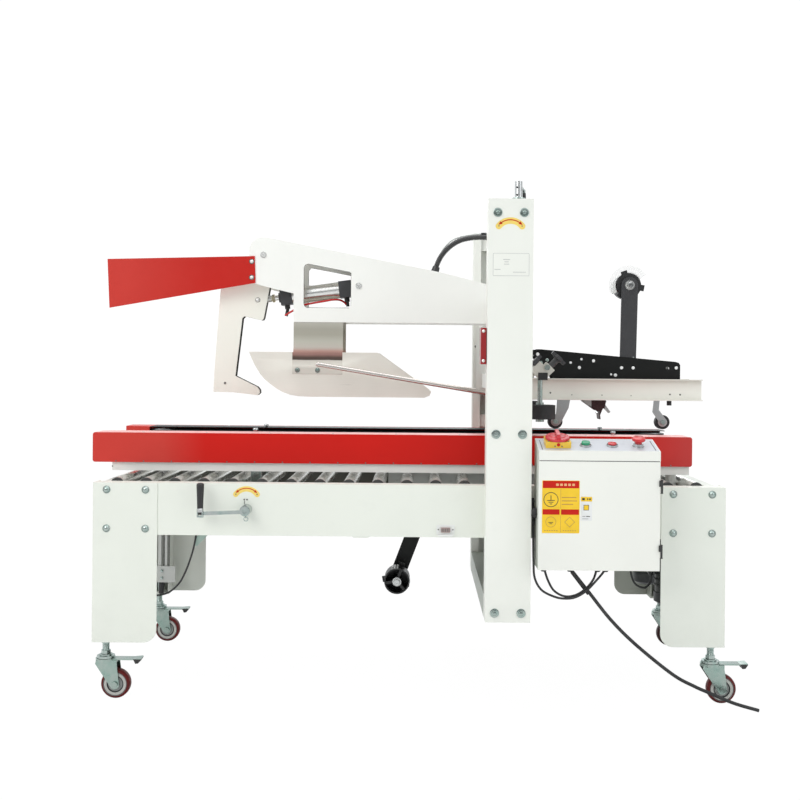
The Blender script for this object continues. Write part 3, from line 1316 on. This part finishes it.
def large_label():
    """Yellow label of four fields: red bars, line rows, two circles and a diamond."""
    width, height, icon_x = 97.5, 137.0, 23
    label = Label(346.0, 481.0)
    label.patch(0, width, 0, height, 0.5, 0, corner=1.5)
    label.patch(1.5, width - 1.5, height - 20, height - 1, 0.62, 1)
    label.patch(1.5, 45.5, 48, 62, 0.62, 1)
    label.patch(49.5, width - 1.5, 48, 62, 0.62, 1)
    for x in (6, 54):
        for k in range(6):
            label.patch(x + k * 6.2, x + k * 6.2 + 4.0, 5.5, 7.5, 0.62, 3, corner=0.4)
    for k, line in enumerate((38, 40, 30)):
        label.patch(51, 51 + line, 92 - k * 9, 94.2 - k * 9, 0.62, 3, corner=0.4)
    for k in range(5):
        label.patch(36 + k * 10.5, 43 + k * 10.5, height - 14, height - 8, 0.72, 2, corner=0.5)
    label.circle(icon_x, 87, 17.6, 19.4, seg=40, slot=4)
    label.circle(icon_x, 29, 12.6, 13.8, seg=36, slot=3)

    def icon_bar(line, z, thick):
        label.patch(icon_x - line / 2, icon_x + line / 2, z, z + thick, 0.66, 4, corner=0.3)

    for line, z in ((20, 84), (13, 79.5), (6, 75)):
        icon_bar(line, z, 1.8)
    icon_bar(2, 85, 13)
    for line, z in ((12, 27), (7, 23.5)):
        icon_bar(line, z, 1.6)
    label.diamond(72, 29, 14, 0.62, 3)
    label.diamond(72, 29, 12, 0.70, 0)
    label.patch(48, 49, 2, 46, 0.6, 3, corner=0.3)
    label.patch(48, 49, 64, height - 21, 0.6, 3, corner=0.3)
    label.build("door_label_large",
                [yellow_label, label_red, label_cream, label_brown, label_ink],
                "white_paint", body="control_door")


def small_label():
    """White label with a yellow head, a square and three lines."""
    label = Label(447.0, 514.0)
    label.patch(0, 29, 0, 62, 0.4, 0, corner=1.5)
    label.patch(0, 29, 50, 62, 0.55, 1, corner=1.2)
    label.patch(3, 10, 53, 59, 0.65, 3, corner=0.6)
    label.patch(16, 19, 54, 58, 0.65, 3, corner=0.4)
    label.patch(21, 26, 54, 58, 0.65, 3, corner=0.4)
    label.diamond(14, 34, 10, 0.5, 3, turn=45)
    label.diamond(14, 34, 8, 0.58, 1, turn=45)
    label.patch(4, 12, 10, 12, 0.5, 2, corner=0.4)
    label.patch(14, 24, 10, 12, 0.5, 3, corner=0.4)
    label.patch(4, 20, 4, 5.6, 0.5, 2, corner=0.4)
    label.build("door_label_small", [label_white, yellow_label, label_grey, label_ink],
                "white_paint", body="control_door")


large_label()
small_label()


# ---------------------------------------------------------------- side belt units
def belt_unit(side, label):
    """Screws, top knobs, end glands and belt ribs of one unit."""
    body = "belt_unit_" + label
    piece = Solid()
    for k in range(21):
        piece.screw((-832 + 78.5 * k, side * 200.0, 637.2), side * Y, 2.1, 1.2, seg=14)
    piece.build("guard_foot_screws_" + label, dark_steel, "zinc_plate", body)

    piece = Solid()
    for x in (-451, 590):
        piece.lathe([(0, 0), (4.2, 0), (4.2, 3), (6.2, 3.2), (7.2, 4.6), (7.2, 8.4), (6.6, 9.8),
                     (4.6, 10.8), (0, 11.2)], (x, side * 112, 717.6), Z, seg=28)
    piece.build("unit_top_knobs_" + label, chrome, "aluminium", body, angle=30)

    piece = Solid()
    for k in range(9):
        piece.screw((-760 + 180 * k, side * 178, 717.8), Z, 3.0, 1.4, seg=16)
    piece.build("guard_top_screws_" + label, zinc_plate, "zinc_plate", body)

    piece = Solid()
    piece.lathe([(0, 0), (4.6, 0), (4.6, 6), (3.6, 7), (0, 7.4)], (-845, side * 150, 624), -X,
                seg=20)
    piece.lathe([(0, 0), (3.2, 0), (3.2, 8), (2.2, 9), (0, 9.2)], (-838, side * 186, 624),
                (-1, 0.2 * side, -0.5), seg=16)
    piece.build("unit_gland_" + label, black_plastic, "black_plastic", body, angle=30)

    # Upright grip ribs on the belt's inner side
    rib_count, first_x, last_x = 118, -776, 746
    piece = Solid()
    for k in range(rib_count):
        x = first_x + (last_x - first_x) * k / (rib_count - 1)
        piece.prism([(-1.6, 0), (1.6, 0), (1.0, 0.9), (-1.0, 0.9)], (x, side * 100.2, 645),
                    X, -side * Y, 60 * Z)
    piece.build("belt_grip_ribs_" + label, flat_belt, "belt_rubber", body)


def gearmotor_fittings(side, label):
    """Terminal box with its lead, and the gearbox screws."""
    body = "belt_unit_" + label
    y = side * GEARMOTOR_Y
    box_x, lid_x, box_z = GEARMOTOR_X - 64, GEARMOTOR_X - 68, 330
    piece = Solid()
    piece.prism(rounded_rect(-26, 26, 0, 62, 4), (box_x, y, box_z), Y, Z, 26 * X)
    piece.prism(rounded_rect(-28, 28, -2, 64, 5), (lid_x, y, box_z), Y, Z, 5 * X)
    for across, up in ((-22, 4), (22, 4), (-22, 58), (22, 58)):
        piece.screw((lid_x, y + across, box_z + up), -X, 2.6, 1.6, seg=14, slot=1)
    piece.lathe([(0, 0), (7, 0), (7, 8), (5, 12), (0, 12)], (696, y, 328), -Z, seg=20)
    piece.tube(spline([
        (696, y, 318), (694, y, 296), (676, y, 280), (648, y - side * 6, 296),
        (636, y - side * 10, 350), (634, y - side * 12, 430), (640, y - side * 12, 520),
        (650, y - side * 10, 608)], 10), 3.0)
    piece.build("motor_terminal_box_" + label, [black_plastic, dark_steel], "black_plastic",
                body, bevel=0.8)

    piece = Solid()
    for along_x in (-34, 34):
        for across in (-34, 34):
            piece.lathe([(0, 0), (5.2, 0), (5.2, 5), (4.4, 5.8), (3, 5.8), (2.8, 3.2),
                         (0, 3.0)], (GEARMOTOR_X + along_x, y + across, 556), Z, seg=20)
    piece.build("gearbox_screws_" + label, fastener_zinc, "zinc_plate", body)


for side, label in SIDES:
    belt_unit(side, label)
for side, label in SIDES:
    gearmotor_fittings(side, label)

# ---------------------------------------------------------------- mast and cranks
piece = Solid()
for side in (-1, 1):
    for x in (228, 298):
        for z in (261, 734, 1321):
            bolt = (x, side * MAST_FACE_Y, z)
            piece.ring([(7.0, 0), (11.6, 0), (12.2, 0.6), (12.0, 1.6), (10.4, 2.2), (7.0, 2.2)],
                       bolt, side * Y, seg=36)
            piece.ring([(5.6, 6.6), (7.2, 6.6), (7.0, 6.95), (5.6, 6.95)], bolt, side * Y,
                       seg=30)
piece.build("mast_bolt_washers", fastener_zinc, "zinc_plate")

# Small plug on the column's right flank, collar round the screw's top
piece = Solid()
piece.lathe([(0, 0), (4.5, 0), (4.5, 1.6), (3.4, 2.6), (0, 2.8)], (323, -362, 1246), X, seg=20)
piece.ring([(11.0, 0), (17.5, 0), (17.5, 5), (16.5, 6), (11.0, 6)], (285, -365, 1358), Z, slot=1)
piece.build("mast_plug_and_collar", [dark_steel, fastener_zinc], "zinc_plate", angle=30)

# Knob of the height crank, and two small buttons beside the screw
piece = Solid()
piece.lathe([(0, -8), (8.6, -8), (9.4, -6.4), (9.2, -1), (8.4, 4), (7.6, 12), (7.6, 20),
             (7.2, 23), (0, 24)], (308, -252, 1370), Z, seg=28)
for z in (1371, 1391):
    piece.lathe([(0, 0), (2.7, 0), (2.7, 1.2), (1.7, 1.4), (1.5, 0.4), (0, 0.3)],
                (280.5, -374.4, z), (-0.45, -0.9, 0), seg=16)
piece.build("height_crank_knob", black_plastic, "black_plastic", "height_crank", angle=40)

# Width crank: small ring and its link below the hub, hub socket, set screw
piece = Solid()
piece.ring([(4.4, 0), (6.4, 0), (6.4, 2), (4.4, 2)], (-436, -366, 500), FRONT, seg=28)
piece.tube(spline([(-438, -362, 512), (-437.5, -364, 506), (-436, -366.5, 504)], 6), 1.6, seg=10)
piece.lathe([(0, 0), (12.4, 0), (13.4, 0.8), (13.4, 2.0), (9.0, 2.2), (5.2, 2.0), (5.0, 0.6),
             (0, 0.5)], (-439, -371.9, 522), FRONT, seg=36)
piece.lathe([(0, 0), (3.0, 0), (3.0, 3), (1.8, 3.2), (1.6, 1.0), (0, 1.0)],
            (-439, -358, 535.4), Z, seg=16)
piece.build("width_crank_fittings", crank_zinc, "zinc_plate", "width_crank", angle=30)

piece = Solid()
piece.lathe([(0, -8), (8.9, -8), (9.0, 0.5), (8.0, 1.5), (0, 1.5)], (-558, -369, 526), Z, seg=28)
piece.build("grip_ferrule", chrome, "zinc_plate", "crank_grip", angle=30)

# ---------------------------------------------------------------- carriage: arm and air lines
# Corrugated hose from the arm's top over to the mast
path = spline([
    (70, -8, 1200), (74, -8, 1216), (88, -8, 1245), (112, -8, 1272), (142, -8, 1291),
    (178, -8, 1300), (214, -8, 1302), (246, -8, 1298), (272, -6, 1280), (284, -4, 1245),
    (286, -2, 1180), (284, 0, 1104)], 30)
piece = Solid()
piece.tube(path, [7.4 + (0.9 if i % 4 in (0, 1) else -0.5) for i in range(len(path))], seg=16)
piece.build("arm_hose", hose_black, "belt_rubber", "carriage", angle=60)

piece = Solid()
piece.lathe([(0, 0), (12.5, 0), (12.8, 2), (11.8, 12), (11.0, 20), (10.4, 24), (8.2, 25),
             (0, 25)], (66.5, -8, 1189), (0.30, 0, 1), seg=24)
piece.lathe([(0, -1), (14.8, -1), (14.8, 4), (13.8, 5), (0, 5)], (66.0, -8, 1191),
            (0.26, 0, 1), seg=6)
piece.lathe([(0, 0), (12.5, 0), (12.8, 3), (11.4, 18), (9.4, 22), (0, 22)],
            (284, 0, 1099.5), Z, seg=24)
piece.build("hose_glands", black_plastic, "black_plastic", "carriage", bevel=0.6)

piece = Solid()
piece.tube(spline([
    (150, 4, 1306), (180, 4, 1311), (214, 4, 1314), (244, 4, 1312), (268, 4, 1296),
    (280, 5, 1260), (281, 6, 1180), (279, 8, 1101)], 12), 2.6)
piece.tube(spline([
    (150, 4, 1306), (120, 2, 1294), (96, -2, 1270), (80, -6, 1238), (74, -8, 1222)], 10), 2.6)
piece.lathe([(0, 0), (4.2, 0), (4.2, 14), (3.2, 16), (0, 16)], (208, 4, 1313.6), X, seg=18,
            slot=1)
piece.build("arm_air_line", [pale_tube, black_plastic], "belt_rubber", "carriage", angle=50)

# Red air tube inside the arm
piece = Solid()
piece.tube(spline([
    (-380, -12, 1062), (-362, -22, 1072), (-336, -30, 1085), (-318, -33, 1093),
    (-290, -34, 1099), (-262, -33, 1104), (-236, -28, 1109), (-216, -16, 1109),
    (-203, -6, 1103), (-198, 0, 1097)], 12), 3.0, seg=14)
piece.build("red_air_tube", red_tube, "belt_rubber", "carriage", angle=60)

# Rubber edging round the arm's window
WINDOW = [  # x, z
    (-319, 1199), (-317.5, 1204.5), (-313.5, 1209.5), (-306, 1212), (-184, 1189),
    (-179, 1185.6), (-179, 1088), (-185, 1082.4), (-306, 1082.4), (-314, 1085.6),
    (-318, 1091), (-319, 1096)]
for side, label in SIDES:
    loop = spline([(x, side * 68.5, z) for x, z in WINDOW], 2, closed=True)
    piece = Solid()
    piece.tube(loop + loop[:1], 1.1, seg=8)
    piece.build("window_edging_" + label, black_rubber, "belt_rubber", "carriage", angle=60)

# Nose guard washers; nut, washer and thread of the hanger bolts
piece = Solid()
for side in (-1, 1):
    outward = side * Y
    for z in (1217, 1170):
        piece.ring([(5.4, 0), (7.6, 0), (7.6, 0.8), (5.4, 0.8)], (-472.5, side * 73, z),
                   outward, seg=28)
    for x in (-333, -274):
        piece.hex_head((x, side * 92.0, 898), outward, 5.6, 3.4)
        piece.ring([(3.2, 0), (7.4, 0), (7.4, 0.9), (3.2, 0.9)], (x, side * 92.0, 898),
                   outward, seg=28)
        piece.thread((x, side * 95, 898), outward, radius=2.9, pitch=1.2, length=6.5,
                     depth=0.4, seg=16)
piece.build("carriage_washers", fastener_zinc, "zinc_plate", "carriage")

piece = Solid()
for side in (-1, 1):
    piece.screw((-558, side * 19, 857), side * Y, 3.7, 1.6, seg=18)
for side in (-1, 1):
    piece.lathe([(5.2, 0), (7.6, 0), (7.6, 0.9), (5.2, 0.9)], (-462, side * 18, 1107), side * Y)
piece.build("kicker_screws", dark_steel, "zinc_plate", "kicker")

piece = Solid()
piece.screw((212.5, 331.6, 980), FRONT, 3.6, 1.6, seg=18)
piece.build("column_mark_screw", dark_steel, "zinc_plate")

# ---------------------------------------------------------------- tape reels
# Part of a tape core with a thin web round it
CORE_INNER, CORE_OUTER, CORE_WEB = 39.5, 39.5 + 1.2, 60.0
piece = Solid()
upper_reel = (UPPER_REEL_X, 0, UPPER_REEL_Z)
piece.ring([(CORE_INNER, -30), (CORE_OUTER, -30), (CORE_OUTER, 22), (CORE_INNER, 22)],
           upper_reel, Y, seg=72, arc=(-26, 150))
piece.ring([(CORE_OUTER, -28.5), (CORE_WEB, -28.5), (CORE_WEB, -27.9), (CORE_OUTER, -27.9)],
           upper_reel, Y, seg=72, arc=(-24, 148))
piece.build("tape_remnant", core_film, "white_paint", "upper_reel_hub", angle=60)

piece = Solid()
piece.ring([(39.2, -25), (47.5, -24), (47.5, 16), (39.2, 17)], upper_reel, Y, seg=20,
           arc=(-30, 12))
piece.build("core_pad", pale_plate, "aluminium", "upper_reel_hub", bevel=0.6)

piece = Solid()
piece.lathe([(0, 0), (8.6, 0), (8.6, 3.6), (7.6, 4.8), (4.2, 5.0), (3.9, 2.2), (0, 2.0)],
            (UPPER_REEL_X, -56, UPPER_REEL_Z), FRONT, seg=28)
piece.build("reel_post_bolt", chrome, "zinc_plate", "carriage", angle=30)

piece = Solid()
piece.lathe([(0, 0), (11.5, 0), (11.5, 2), (8.8, 2.2), (8.8, 8), (7.8, 9.2), (4.2, 9.4),
             (3.9, 5.5), (0, 5.2)], (LOWER_REEL_X, -44, LOWER_REEL_Z), FRONT, seg=28)
piece.hex_head((LOWER_REEL_X, -44.2, LOWER_REEL_Z), FRONT, 11.4, 6.0)
piece.build("lower_reel_bolt", chrome, "zinc_plate", angle=30)


def mandrel_grips(label, centre_x, centre_z, y_range, start, finish):
    """Three groups of three ribs along the mandrel."""
    low, high = y_range
    piece = Solid()
    for k in range(3):
        for shift in (-0.22, 0.0, 0.22):
            turn = math.radians(120 * k + start) + shift
            cosine, sine = math.cos(turn), math.sin(turn)
            piece.prism([(-2.2, 0), (2.2, 0), (1.2, 1.7), (-1.2, 1.7)],
                        (centre_x + 37.7 * cosine, low, centre_z + 37.7 * sine),
                        (-sine, 0, cosine), (cosine, 0, sine), (high - low) * Y)
    piece.build("mandrel_grips_" + label, finish, "belt_rubber", label + "_reel_hub", bevel=0.3)


mandrel_grips("upper", UPPER_REEL_X, UPPER_REEL_Z, y_range=(-20, 32), start=40,
              finish=black_rubber)
mandrel_grips("lower", LOWER_REEL_X, LOWER_REEL_Z, y_range=(-31, 26), start=100,
              finish=pale_plate)

# ---------------------------------------------------------------- upper tape head
piece = Solid()
for side in (-1, 1):
    piece.screw((404, side * 48.2, 934), side * Y, 5.2, 2.0)
    piece.screw((760, side * 48.2, 913), side * Y, 4.0, 2.0, seg=18, slot=1)
for x in (625.6, 660.7):
    piece.screw((x, -45.2, 943.5), FRONT, 2.5, 1.2, seg=16)
piece.build("head_plate_screws", [zinc_plate, dark_steel], "zinc_plate", "carriage")

HEAD_PLUGS = (  # x, z, radius
    (376, 951.5, 4.4), (506, 937.5, 3), (474, 927, 3), (542, 933, 4.2), (500, 912.5, 4.2),
    (625.5, 913, 4.2), (660, 913, 4.2), (594.5, 893, 2.6), (607.5, 891, 4.4), (788, 914, 4.2))
piece = Solid()
for side in (-1, 1):
    for x, z, radius in HEAD_PLUGS:
        piece.lathe([(0, -1.5), (radius - 0.2, -1.5), (radius - 0.2, 0.1), (radius + 0.5, 0.1),
                     (radius + 0.5, 0.5), (radius * 0.8, 0.9), (0, 1.0)],
                    (x, side * 48, z), side * Y, seg=28)
piece.build("head_plate_plugs", plug_white, "white_paint", "carriage", angle=50)

BEAM_SCREWS = (  # x, z, radius
    (411.5, 837.5, 2.6), (475, 832, 1.5), (563.5, 832, 1.6), (649.5, 831, 1.5),
    (764, 835.5, 2.6), (794, 835, 2.6))
piece = Solid()
for side in (-1, 1):
    for x, z, radius in BEAM_SCREWS:
        piece.screw((x, side * 73, z), side * Y, radius, 1.4, seg=14)
piece.build("beam_screws", dark_steel, "zinc_plate", "carriage")

# Coil springs of the tape head arms
COIL_TURNS, COIL_STEPS, COIL_RADIUS = 16, 10, 3.4
piece = Solid()
for start, end in (((492, 30, 862), (560, 30, 906)), ((640, -30, 866), (585, -30, 905))):
    start = Vector(start)
    run = Vector(end) - start
    across, upward, _ = basis(run)
    path = []
    for i in range(COIL_TURNS * COIL_STEPS + 1):
        share = i / (COIL_TURNS * COIL_STEPS)
        turn = 2 * math.pi * COIL_TURNS * share
        path.append(start + run * share + across * (COIL_RADIUS * math.cos(turn))
                    + upward * (COIL_RADIUS * math.sin(turn)))
    piece.tube(path, 0.75, seg=6)
piece.build("head_arm_springs", chrome, "roller_steel", "carriage", angle=60)

# Toothed knife blade
outline = []
for k in range(22):
    outline += [(-22 + 2 * k, 0), (-21 + 2 * k, 3.0)]
outline += [(22, 0), (22, -9), (-22, -9)]
piece = Solid()
piece.prism(outline, (560, 0, 778), Y, (-0.45, 0, -0.89), (0.7, 0, -0.35))
piece.build("knife_blade", chrome, "roller_steel", "upper_knife")

# ---------------------------------------------------------------- camera, floor and world
camera_data = bpy.data.cameras.new("camera")
camera = bpy.data.objects.new("camera", camera_data)
scene.collection.objects.link(camera)
camera_data.sensor_width = 36.0
camera_data.sensor_fit = "HORIZONTAL"
camera_data.lens = 47.565
camera_data.shift_x = -0.02125
camera_data.shift_y = -0.04125
camera_data.clip_end = 100.0
camera.matrix_world = (Matrix.Translation((0.0175, -3.190, 0.910))
                       @ Matrix.Rotation(math.radians(90), 4, "X")
                       @ Matrix.Rotation(0.0087, 4, "Z"))
scene.camera = camera


def floor_surface(tree):
    """Pale floor that the camera sees as white, a little less so near the machine."""
    cloud = tree.remap(tree.noise(0.7, detail=2.0), (0.3, 0.7), to=(0, 1))
    plain = tree.principled(
        Base_Color=tree.mix_color(cloud, (0.90, 0.90, 0.895), (0.88, 0.88, 0.875)),
        Roughness=0.85, Specular_IOR_Level=0.15)
    glow = tree.node("ShaderNodeEmission")
    tree.put(glow.inputs["Color"], (1, 1, 1))
    tree.put(glow.inputs["Strength"], 1.02)
    seen = tree.node("ShaderNodeLightPath").outputs["Is Camera Ray"]
    squares = []
    for axis, reach in (("X", 1.5), ("Y", 1.1)):
        part = tree.math("DIVIDE", tree.xyz[axis], reach)
        squares.append(tree.math("MULTIPLY", part, part))
    away = tree.math("SQRT", tree.math("ADD", *squares))
    share = tree.remap(away, (0.45, 1.10), to=(0.955, 1.0))
    return tree.mix_shader(tree.math("MULTIPLY", seen, share), plain, glow.outputs[0])


FLOOR_HALF = 30
mesh = bpy.data.meshes.new("studio_floor")
mesh.from_pydata([(x * FLOOR_HALF, y * FLOOR_HALF, 0)
                  for x, y in ((-1, -1), (1, -1), (1, 1), (-1, 1))], [], [(0, 1, 2, 3)])
floor = bpy.data.objects.new("studio_floor", mesh)
scene.collection.objects.link(floor)
mesh.materials.append(material("studio_floor", floor_surface))
floor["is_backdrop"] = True


def build_world():
    """White to the camera, soft light to the rest, and a shaped room for reflections."""
    world = bpy.data.worlds.new("studio")
    scene.world = world
    tree = ShaderTree(world)

    def background(color, strength):
        node = tree.node("ShaderNodeBackground")
        return tree.fill(node, color, strength)

    split = tree.node("ShaderNodeSeparateXYZ")
    tree.put(split.inputs[0], tree.node("ShaderNodeTexCoord").outputs["Generated"])
    x, y, z = split.outputs

    def smooth(value, source, to):
        return tree.remap(value, source, to=to, interpolation="SMOOTHSTEP")

    # Towards -Y dark below, bright above and a little lighter on the left; towards +Y even
    front = tree.math("ADD", smooth(z, (0.02, 0.50), to=(0.16, 1.15)),
                      smooth(x, (-0.75, -0.35), to=(0.45, 0.0)))
    back = smooth(z, (0.0, 0.5), to=(0.95, 0.85))
    rearward = smooth(y, (-0.25, 0.30), to=(0.0, 1.0))
    room = tree.math(
        "ADD", tree.math("MULTIPLY", front, tree.math("SUBTRACT", 1.0, rearward)),
        tree.math("MULTIPLY", back, rearward))
    rays = tree.node("ShaderNodeLightPath").outputs
    lit = tree.mix_shader(rays["Is Glossy Ray"], background((0.95, 0.98, 1.0), strength=0.72),
                          background((0.96, 0.985, 1.0), strength=room))
    tree.output("ShaderNodeOutputWorld", tree.mix_shader(
        rays["Is Camera Ray"], lit, background((1, 1, 1), strength=1.05)))


build_world()


def area_light(name, place, target, width, height, power, color):
    light = bpy.data.lights.new(name, "AREA")
    light.shape = "RECTANGLE"
    light.size, light.size_y = width, height
    light.energy = power
    light.color = color
    lamp = bpy.data.objects.new(name, light)
    scene.collection.objects.link(lamp)
    lamp.location = place
    lamp.rotation_mode = "QUATERNION"
    lamp.rotation_quaternion = (Vector(target) - Vector(place)).to_track_quat("-Z", "Y")
    lamp.visible_camera = False


area_light("key", place=(-2.6, -3.4, 3.2), target=(0, 0, 0.7), width=2.4, height=2.4,
           power=60, color=(1.0, 0.985, 0.96))
area_light("fill", place=(3.4, -3.0, 1.6), target=(0, 0, 0.7), width=2.4, height=2.4,
           power=22, color=(0.95, 0.98, 1.0))
area_light("top", place=(0, 0.4, 4.2), target=(0, 0, 0), width=4.0, height=3.0,
           power=85, color=(1, 1, 1))
area_light("back", place=(0.5, 3.8, 2.6), target=(0, 0, 0.8), width=3.0, height=3.0,
           power=30, color=(0.97, 0.99, 1.0))

scene.view_settings.view_transform = "Standard"
scene.view_settings.look = "None"
scene.view_settings.exposure = 0.0
scene.view_settings.gamma = 1.0

low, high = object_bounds()
